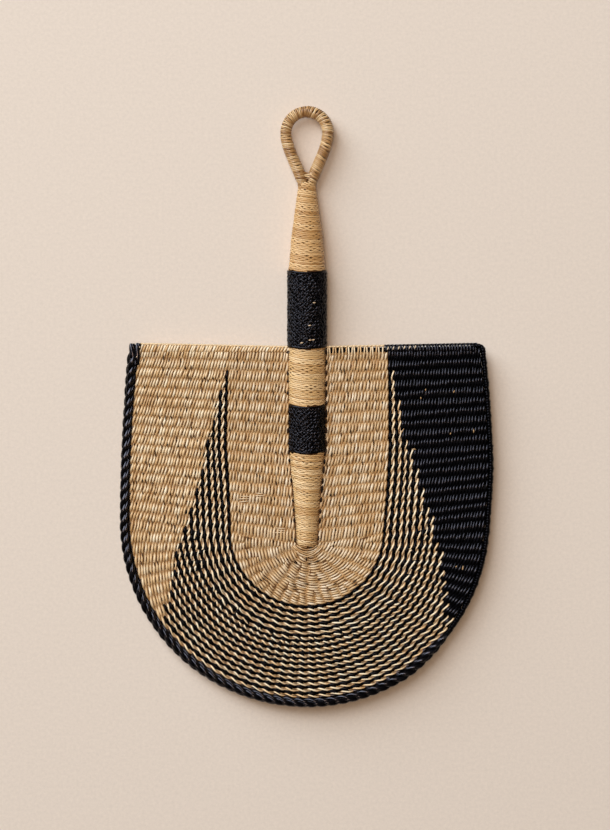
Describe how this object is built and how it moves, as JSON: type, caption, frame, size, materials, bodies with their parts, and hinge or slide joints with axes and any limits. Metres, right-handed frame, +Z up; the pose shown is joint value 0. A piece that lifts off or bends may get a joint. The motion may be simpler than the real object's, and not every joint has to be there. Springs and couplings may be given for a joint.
{
  "type": "woven straw hand fan",
  "caption": "Round-ended woven straw hand fan with natural and black stripes, a roped black border, a wrapped straight handle and a hanging loop.",
  "frame": {"origin": "on the surface that the fan lies on, under the middle of its bounding box", "axes": "+X across the blade to the right, +Y along the handle towards the hanging loop, +Z up, away from the surface"},
  "size_m": [0.2692, 0.4332, 0.0207],
  "materials": {
    "natural_straw": "matte",
    "pale_straw": "matte",
    "golden_straw": "satin",
    "striped_straw": "matte",
    "black_straw": "satin"
  },
  "bodies": {
    "root": {"handle_bundle": "natural_straw", "tip_wrap_natural": "golden_straw", "grip_wrap_natural": "golden_straw", "neck_wrap": "golden_straw", "lower_wrap_black": "black_straw", "grip_wrap_black": "black_straw", "loop_core": "natural_straw", "loop_wrap": "golden_straw", "tip_turns_front": "pale_straw", "tip_turns_back": "pale_straw", "weft_inner_natural": "pale_straw", "weft_outer_striped": "striped_straw", "border_rope_black": "black_straw", "border_roll_black": "black_straw", "selvedge_left_natural": "natural_straw", "selvedge_right_natural": "natural_straw", "selvedge_right_black": "black_straw", "side_stake_01": "natural_straw", "side_stake_02": "natural_straw", "side_stake_03": "natural_straw", "side_stake_04": "natural_straw", "side_stake_05": "natural_straw", "side_stake_06": "natural_straw", "side_stake_07": "natural_straw", "side_stake_08": "natural_straw", "side_stake_09": "natural_straw", "side_stake_10": "natural_straw", "side_stake_11": "natural_straw", "side_stake_12": "natural_straw", "side_stake_13": "natural_straw", "side_stake_14": "natural_straw", "side_stake_15": "natural_straw", "side_stake_16": "natural_straw", "side_stake_17": "natural_straw", "side_stake_18": "natural_straw", "tip_stake_1": "natural_straw", "tip_stake_2": "natural_straw", "tip_stake_3": "natural_straw", "tip_stake_4": "natural_straw", "tip_stake_5": "natural_straw", "tip_stake_6": "natural_straw"}
  },
  "joints": []
}
